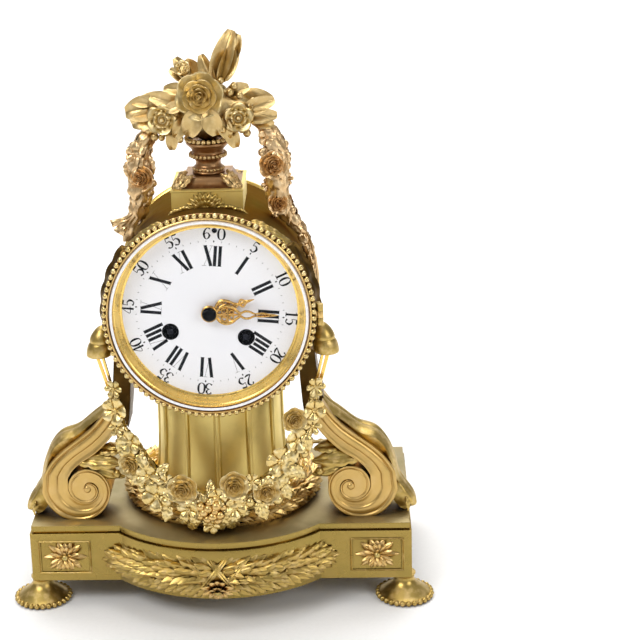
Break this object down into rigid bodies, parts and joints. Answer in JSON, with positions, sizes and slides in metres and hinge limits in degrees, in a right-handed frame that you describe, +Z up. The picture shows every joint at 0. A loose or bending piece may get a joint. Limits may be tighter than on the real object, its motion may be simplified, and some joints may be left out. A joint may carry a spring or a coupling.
{
  "type": "mantel clock",
  "caption": "Gilt mantel clock: drum with enamelled dial on a ribbed column between scroll consoles, on a bowed base, crowned by an urn of flowers.",
  "frame": {"origin": "on the floor, under the middle of the object's bounding box", "axes": "+Z up, -Y towards the viewer, the way the dial faces, +X to the viewer's right"},
  "size_m": [0.2482, 0.1492, 0.3328],
  "materials": {
    "gilt_bronze": "fire-gilt, aged",
    "worn_gilt": "worn gilding over bronze",
    "bright_gilt": "burnished gilding",
    "plain_brass": "polished",
    "steel": "polished",
    "blued_steel": "blackened",
    "glass": "clear, bevelled edge",
    "enamel": "white vitreous enamel, glossy"
  },
  "bodies": {
    "case": {"base_frame": "gilt_bronze", "base_slab": "gilt_bronze", "bow_laurel": "gilt_bronze", "panel_rosettes": "worn_gilt", "feet": "gilt_bronze", "socle_ring": "worn_gilt", "column": "gilt_bronze", "tie_rods": "steel", "drum_barrel": "gilt_bronze", "rear_bezel": "bright_gilt", "sight_ring": "bright_gilt", "dial": "enamel", "console_left": "gilt_bronze", "console_right": "gilt_bronze", "drum_leaf_left": "gilt_bronze", "drum_leaf_right": "gilt_bronze", "top_plinth": "gilt_bronze", "urn": "worn_gilt", "bouquet": "worn_gilt", "top_garland_left": "worn_gilt", "top_garland_right": "worn_gilt", "swag_left": "worn_gilt", "swag_centre": "worn_gilt", "swag_right": "worn_gilt", "front_plate": "plain_brass", "back_plate": "plain_brass", "plate_pillars": "plain_brass", "dial_pan": "plain_brass", "movement_straps": "plain_brass", "winding_clicks": "steel", "back_cock": "plain_brass", "bell_stand": "plain_brass", "bell": "steel"},
    "front_door": {"front_bezel": "bright_gilt", "glass": "glass"},
    "rear_door": {"back_door": "gilt_bronze"},
    "minute_work": {"centre_wheel": "plain_brass", "minute_hand": "bright_gilt", "hand_nut": "blued_steel"},
    "hour_work": {"hour_wheel": "plain_brass", "hour_hand": "bright_gilt"},
    "motion_work": {"minute_wheel": "plain_brass"},
    "second_work": {"second_wheel": "plain_brass"},
    "going_drum": {"going_barrel": "plain_brass", "going_mainspring": "steel"},
    "third_work": {"third_wheel": "plain_brass"},
    "escape_work": {"escape_wheel": "plain_brass"},
    "going_winder": {"going_arbor": "steel"},
    "strike_winder": {"strike_arbor": "steel"},
    "pendulum": {"pendulum_rod": "steel", "pendulum_bob": "bright_gilt"},
    "pallet_work": {"anchor": "steel"},
    "rating": {"rating_nut": "plain_brass"},
    "regulator": {"regulator_arbor": "blued_steel"},
    "strike_work": {"strike_wheel": "plain_brass", "count_wheel": "plain_brass"},
    "strike_drum": {"strike_barrel": "plain_brass", "strike_mainspring": "steel"},
    "pin_work": {"pin_wheel": "plain_brass"},
    "hammer_work": {"hammer": "steel"}
  },
  "joints": [
    {"name": "front_door_hinge", "type": "hinge", "parent": "case", "child": "front_door", "pos_m": [0.0615, -0.0506, 0.1801], "axis": [0, 0, 1], "range_deg": [0, 110]},
    {"name": "rear_door_hinge", "type": "hinge", "parent": "case", "child": "rear_door", "pos_m": [-0.0615, 0.0398, 0.1801], "axis": [0, 0, 1], "range_deg": [0, 110]},
    {"name": "minute_turn", "type": "hinge", "parent": "case", "child": "minute_work", "pos_m": [0, -0.0206, 0.1801], "axis": [0, 1, 0], "continuous": true},
    {"name": "hour_turn", "type": "hinge", "parent": "case", "child": "hour_work", "pos_m": [0, -0.0386, 0.1801], "axis": [0, 1, 0], "continuous": true},
    {"name": "motion_turn", "type": "hinge", "parent": "case", "child": "motion_work", "pos_m": [-0.00115, -0.0376, 0.16815], "axis": [0, 1, 0], "continuous": true},
    {"name": "second_turn", "type": "hinge", "parent": "case", "child": "second_work", "pos_m": [0.01411, -0.0206, 0.18422], "axis": [0, 1, 0], "continuous": true},
    {"name": "going_turn", "type": "hinge", "parent": "case", "child": "going_drum", "pos_m": [0.01994, -0.0206, 0.16492], "axis": [0, 1, 0], "continuous": true},
    {"name": "third_turn", "type": "hinge", "parent": "case", "child": "third_work", "pos_m": [-0.00515, -0.0206, 0.19274], "axis": [0, 1, 0], "continuous": true},
    {"name": "escape_turn", "type": "hinge", "parent": "case", "child": "escape_work", "pos_m": [0.00211, -0.0206, 0.202], "axis": [0, 1, 0], "continuous": true},
    {"name": "going_winding", "type": "hinge", "parent": "case", "child": "going_winder", "pos_m": [0.01994, -0.0206, 0.16492], "axis": [0, 1, 0], "range_deg": [0, 1440]},
    {"name": "strike_winding", "type": "hinge", "parent": "case", "child": "strike_winder", "pos_m": [-0.02247, -0.0206, 0.169], "axis": [0, 1, 0], "range_deg": [0, 1440]},
    {"name": "pendulum_swing", "type": "hinge", "parent": "case", "child": "pendulum", "pos_m": [0.0036, -0.002, 0.21753], "axis": [0, 1, 0], "range_deg": [-2.5, 2.5]},
    {"name": "pallet_rock", "type": "hinge", "parent": "case", "child": "pallet_work", "pos_m": [0.0036, -0.0206, 0.21753], "axis": [0, 1, 0], "range_deg": [-2.6, 2.6]},
    {"name": "rating_turn", "type": "hinge", "parent": "pendulum", "child": "rating", "pos_m": [0.0036, -0.002, 0.1004], "axis": [0, 0, 1], "continuous": true},
    {"name": "regulator_turn", "type": "hinge", "parent": "case", "child": "regulator", "pos_m": [0.00454, -0.0426, 0.22728], "axis": [0, 1, 0], "range_deg": [-180, 180]},
    {"name": "strike_turn", "type": "hinge", "parent": "case", "child": "strike_work", "pos_m": [-0.02475, -0.0206, 0.18903], "axis": [0, 1, 0], "continuous": true},
    {"name": "strike_drum_turn", "type": "hinge", "parent": "case", "child": "strike_drum", "pos_m": [-0.02247, -0.0206, 0.169], "axis": [0, 1, 0], "continuous": true},
    {"name": "pin_turn", "type": "hinge", "parent": "case", "child": "pin_work", "pos_m": [-0.0175, -0.0206, 0.19847], "axis": [0, 1, 0], "continuous": true},
    {"name": "hammer_lift", "type": "hinge", "parent": "case", "child": "hammer_work", "pos_m": [-0.0153, -0.0206, 0.14641], "axis": [0, -1, 0], "range_deg": [0, 12], "stiffness_Nm_per_rad": 0.005, "springref_deg": -17.19}
  ],
  "couplings": [
    {"joint": "hour_turn", "follows": "minute_turn", "ratio": 0.083333},
    {"joint": "motion_turn", "follows": "minute_turn", "ratio": -0.33333},
    {"joint": "second_turn", "follows": "minute_turn", "ratio": -0.16667},
    {"joint": "going_turn", "follows": "minute_turn", "ratio": 0.02381},
    {"joint": "third_turn", "follows": "minute_turn", "ratio": -12},
    {"joint": "pallet_rock", "follows": "pendulum_swing", "ratio": 1},
    {"joint": "strike_drum_turn", "follows": "strike_turn", "ratio": -0.14286},
    {"joint": "pin_turn", "follows": "strike_turn", "ratio": -7.5}
  ]
}
